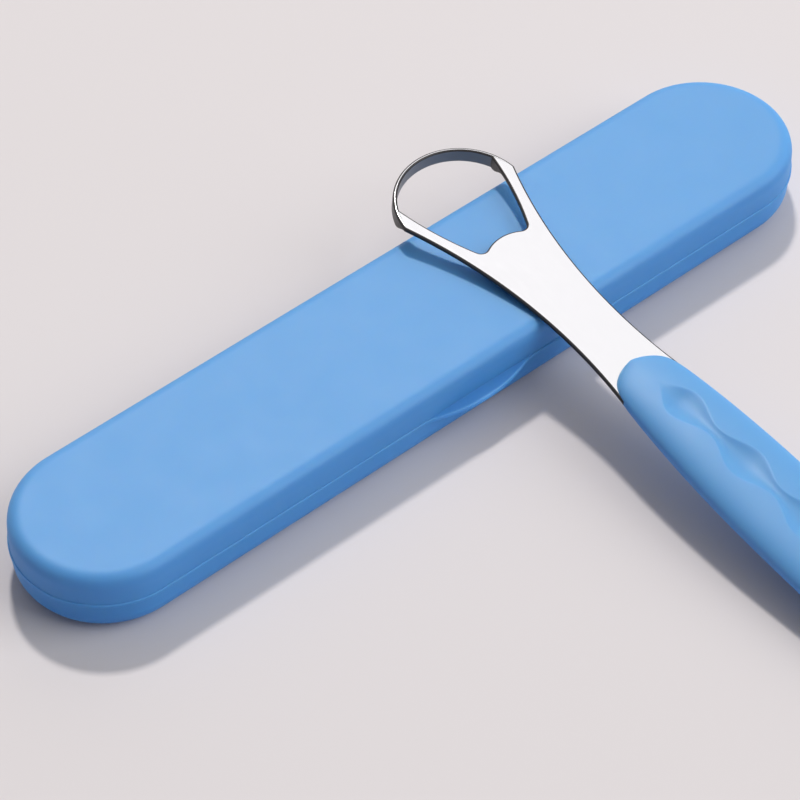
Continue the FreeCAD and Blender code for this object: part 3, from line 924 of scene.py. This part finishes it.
# Diffuse rays see the painted bounce colour instead of the table's own colour.
rays = add_node(floor_tree, "ShaderNodeLightPath").outputs
painted_bounce_mix = add_node(
    floor_tree, "ShaderNodeMix",
    {"Factor": rays["Is Diffuse Ray"], 6: (*FLOOR_COLOUR, 1), 7: (*FLOOR_PAINTED_BOUNCE, 1)}, data_type="RGBA",
)
floor_tree.links.new(painted_bounce_mix.outputs[2], floor_shader.inputs["Base Color"])
floor_shader.inputs["Roughness"].default_value = FLOOR_ROUGHNESS
floor_shader.inputs["Specular IOR Level"].default_value = FLOOR_SHEEN
floor.data.materials.append(floor_finish)


LAMP_DISTANCE = 3.0
KEY_DIRECTION = (0.31, 0.455, 0.835)
KEY_SIZE = 0.24
KEY_POWER = 54.0
KEY_COLOUR = (1.0, 0.97, 0.95)
SOFT_BOX_DIRECTION = (0.5, -0.6, 0.62)
SOFT_BOX_SIZE = 2.4
SOFT_BOX_POWER = 55.0
SOFT_BOX_COLOUR = (0.94, 0.98, 1.04)


def lamp(name, towards, size, power, colour):
    """A square lamp in a direction from the case, turned to face it."""
    data = bpy.data.lights.new(name, "AREA")
    data.size = size
    data.energy = power
    data.color = colour
    light = bpy.data.objects.new(name, data)
    light.location = Vector(towards).normalized() * LAMP_DISTANCE
    light.rotation_euler = (-Vector(towards)).to_track_quat("-Z", "Y").to_euler()
    bpy.context.scene.collection.objects.link(light)


lamp("key_lamp", KEY_DIRECTION, KEY_SIZE, KEY_POWER, KEY_COLOUR)
lamp("front_soft_box", SOFT_BOX_DIRECTION, SOFT_BOX_SIZE, SOFT_BOX_POWER, SOFT_BOX_COLOUR)

ROOM_COLOUR = (1.0, 0.985, 1.0)
ROOM_SEEN = 1.13
ROOM_DIM = 0.04
CEILING_DIRECTION = (-0.15, -0.1, 0.98)
CEILING_GLOW = 0.42
WINDOW_DIRECTION = (0.85, 0.5, 0.1)
WINDOW_GLOW = 0.9
GLOW_EDGE = 0.5
GLOW_CORE = 0.95
world = bpy.data.worlds.new("pale_room")
world.use_nodes = True
room = world.node_tree
room_light = room.nodes["Background"].inputs
direction = add_node(room, "ShaderNodeTexCoord").outputs["Generated"]


def glow(towards, strength):
    """Soft light of the room from one side, fading out to the ones beside it."""
    facing = add_node(
        room, "ShaderNodeVectorMath",
        {0: direction, 1: Vector(towards).normalized()}, operation="DOT_PRODUCT",
    )
    fading = add_node(
        room, "ShaderNodeMapRange",
        {"Value": facing.outputs["Value"], 1: GLOW_EDGE, 2: GLOW_CORE, 3: 0.0, 4: strength},
        interpolation_type="SMOOTHSTEP",
    )
    return fading.outputs[0]


both = add_node(
    room, "ShaderNodeMath",
    {0: glow(CEILING_DIRECTION, CEILING_GLOW), 1: glow(WINDOW_DIRECTION, WINDOW_GLOW)},
)
dim = add_node(room, "ShaderNodeMath", {0: both.outputs[0], 1: ROOM_DIM})
seen = add_node(room, "ShaderNodeLightPath").outputs
shown = add_node(
    room, "ShaderNodeMath", {0: seen["Is Camera Ray"], 1: seen["Is Glossy Ray"]}, operation="MAXIMUM",
)
strength = add_node(room, "ShaderNodeMix", {"Factor": shown.outputs[0], 2: dim.outputs[0], 3: ROOM_SEEN})
room.links.new(strength.outputs[0], room_light["Strength"])
room_light["Color"].default_value = (*ROOM_COLOUR, 1)
bpy.context.scene.world = world

CAMERA_TARGET = Vector((-7.77, -4.1, 0)) * MM
CAMERA_AZIMUTH = math.radians(-40.46)
CAMERA_ELEVATION = math.radians(47.41)
CAMERA_DISTANCE = 632.82 * MM
CAMERA_LENS = 160.51
SENSOR_WIDTH = 36.0
backwards = Vector((
    math.sin(CAMERA_AZIMUTH) * math.cos(CAMERA_ELEVATION),
    -math.cos(CAMERA_AZIMUTH) * math.cos(CAMERA_ELEVATION),
    math.sin(CAMERA_ELEVATION),
))
camera_data = bpy.data.cameras.new("camera")
camera_data.lens = CAMERA_LENS
camera_data.sensor_width = SENSOR_WIDTH
camera = bpy.data.objects.new("camera", camera_data)
camera.location = CAMERA_TARGET + backwards * CAMERA_DISTANCE
camera.rotation_euler = (-backwards).to_track_quat("-Z", "Y").to_euler()
bpy.context.scene.collection.objects.link(camera)
bpy.context.scene.camera = camera
bpy.context.scene.view_settings.view_transform = "Standard"
